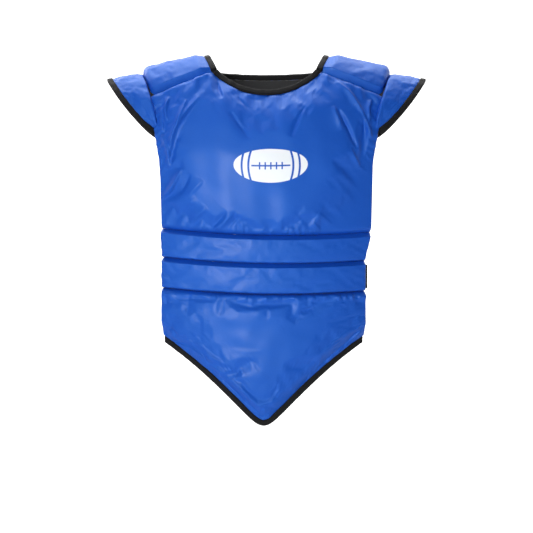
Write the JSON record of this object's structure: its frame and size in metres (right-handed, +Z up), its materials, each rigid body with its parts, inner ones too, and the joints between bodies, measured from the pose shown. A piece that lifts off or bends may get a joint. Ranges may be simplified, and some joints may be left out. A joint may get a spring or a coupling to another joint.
{
  "type": "padded rugby contact suit",
  "caption": "Padded tackle suit vest: foam panels in coated nylon covers with shoulder pads, shoulder caps, folding belly ribs, a pointed groin flap and side straps.",
  "frame": {"origin": "midway between the shoulders, at the height of the shoulder pads' underside, where the suit hangs on its wearer", "axes": "+Z up along the wearer's spine, +X to the wearer's left, -Y to the wearer's front"},
  "size_m": [0.67, 0.2929, 0.7812],
  "materials": {
    "cover_nylon": "satin",
    "panel_foam": "matte",
    "lining_mesh": "matte",
    "edge_binding": "matte",
    "strap_elastic": "matte",
    "hook_tape": "matte",
    "loop_tape": "matte"
  },
  "bodies": {
    "shoulders": {"left_shoulder_pad_lining": "lining_mesh", "left_shoulder_pad_foam": "panel_foam", "left_shoulder_pad_cover": "cover_nylon", "left_neck_binding": "edge_binding", "right_shoulder_pad_lining": "lining_mesh", "right_shoulder_pad_foam": "panel_foam", "right_shoulder_pad_cover": "cover_nylon", "right_neck_binding": "edge_binding"},
    "chest": {"chest_lining": "lining_mesh", "chest_foam": "panel_foam", "chest_cover": "cover_nylon", "front_neck_binding": "edge_binding"},
    "upper_rib": {"upper_rib_lining": "lining_mesh", "upper_rib_foam": "panel_foam", "upper_rib_cover": "cover_nylon"},
    "lower_rib": {"lower_rib_lining": "lining_mesh", "lower_rib_foam": "panel_foam", "lower_rib_cover": "cover_nylon"},
    "groin_flap": {"groin_flap_lining": "lining_mesh", "groin_flap_foam": "panel_foam", "groin_flap_cover": "cover_nylon", "groin_flap_binding": "edge_binding"},
    "upper_back": {"upper_back_lining": "lining_mesh", "upper_back_foam": "panel_foam", "upper_back_cover": "cover_nylon", "back_neck_binding": "edge_binding", "upper_left_tab": "strap_elastic", "upper_left_loop_patch": "loop_tape", "upper_right_tab": "strap_elastic", "upper_right_loop_patch": "loop_tape"},
    "back_upper_rib": {"back_upper_rib_lining": "lining_mesh", "back_upper_rib_foam": "panel_foam", "back_upper_rib_cover": "cover_nylon"},
    "back_lower_rib": {"back_lower_rib_lining": "lining_mesh", "back_lower_rib_foam": "panel_foam", "back_lower_rib_cover": "cover_nylon", "lower_left_tab": "strap_elastic", "lower_left_loop_patch": "loop_tape", "lower_right_tab": "strap_elastic", "lower_right_loop_patch": "loop_tape"},
    "tail_flap": {"tail_flap_lining": "lining_mesh", "tail_flap_foam": "panel_foam", "tail_flap_cover": "cover_nylon", "tail_flap_binding": "edge_binding"},
    "left_cap": {"left_cap_lining": "lining_mesh", "left_cap_foam": "panel_foam", "left_cap_cover": "cover_nylon", "left_cap_binding": "edge_binding"},
    "right_cap": {"right_cap_lining": "lining_mesh", "right_cap_foam": "panel_foam", "right_cap_cover": "cover_nylon", "right_cap_binding": "edge_binding"},
    "upper_left_strap": {"upper_left_hook_pad": "hook_tape", "upper_left_strap": "strap_elastic"},
    "lower_left_strap": {"lower_left_hook_pad": "hook_tape", "lower_left_strap": "strap_elastic"},
    "upper_right_strap": {"upper_right_hook_pad": "hook_tape", "upper_right_strap": "strap_elastic"},
    "lower_right_strap": {"lower_right_hook_pad": "hook_tape", "lower_right_strap": "strap_elastic"}
  },
  "joints": [
    {"name": "chest_swing", "type": "hinge", "parent": "shoulders", "child": "chest", "pos_m": [0, -0.0616, 0.011], "axis": [-1, 0, 0], "range_deg": [0, 25]},
    {"name": "upper_rib_bend", "type": "hinge", "parent": "chest", "child": "upper_rib", "pos_m": [0, -0.12154, -0.326], "axis": [-1, 0, 0], "range_deg": [0, 15]},
    {"name": "lower_rib_bend", "type": "hinge", "parent": "upper_rib", "child": "lower_rib", "pos_m": [0, -0.12102, -0.385], "axis": [-1, 0, 0], "range_deg": [0, 15]},
    {"name": "groin_flap_swing", "type": "hinge", "parent": "lower_rib", "child": "groin_flap", "pos_m": [0, -0.12022, -0.449], "axis": [-1, 0, 0], "range_deg": [0, 20]},
    {"name": "back_swing", "type": "hinge", "parent": "shoulders", "child": "upper_back", "pos_m": [0, 0.05742, 0.011], "axis": [1, 0, 0], "range_deg": [0, 25]},
    {"name": "back_upper_rib_bend", "type": "hinge", "parent": "upper_back", "child": "back_upper_rib", "pos_m": [0, 0.10672, -0.326], "axis": [1, 0, 0], "range_deg": [0, 15]},
    {"name": "back_lower_rib_bend", "type": "hinge", "parent": "back_upper_rib", "child": "back_lower_rib", "pos_m": [0, 0.10639, -0.385], "axis": [1, 0, 0], "range_deg": [0, 15]},
    {"name": "tail_flap_swing", "type": "hinge", "parent": "back_lower_rib", "child": "tail_flap", "pos_m": [0, 0.10589, -0.449], "axis": [1, 0, 0], "range_deg": [0, 20]},
    {"name": "left_cap_lift", "type": "hinge", "parent": "shoulders", "child": "left_cap", "pos_m": [0.264, 0, -0.014], "axis": [0, -1, 0], "range_deg": [0, 28]},
    {"name": "right_cap_lift", "type": "hinge", "parent": "shoulders", "child": "right_cap", "pos_m": [-0.264, 0, -0.014], "axis": [0, 1, 0], "range_deg": [0, 28]},
    {"name": "upper_left_strap_peel", "type": "hinge", "parent": "chest", "child": "upper_left_strap", "pos_m": [0.21878, -0.083, -0.25], "axis": [0, 0, 1], "range_deg": [0, 90]},
    {"name": "lower_left_strap_peel", "type": "hinge", "parent": "lower_rib", "child": "lower_left_strap", "pos_m": [0.21, -0.083, -0.417], "axis": [0, 0, 1], "range_deg": [0, 90]},
    {"name": "upper_right_strap_peel", "type": "hinge", "parent": "chest", "child": "upper_right_strap", "pos_m": [-0.21878, -0.083, -0.25], "axis": [0, 0, -1], "range_deg": [0, 90]},
    {"name": "lower_right_strap_peel", "type": "hinge", "parent": "lower_rib", "child": "lower_right_strap", "pos_m": [-0.21, -0.083, -0.417], "axis": [0, 0, -1], "range_deg": [0, 90]}
  ]
}
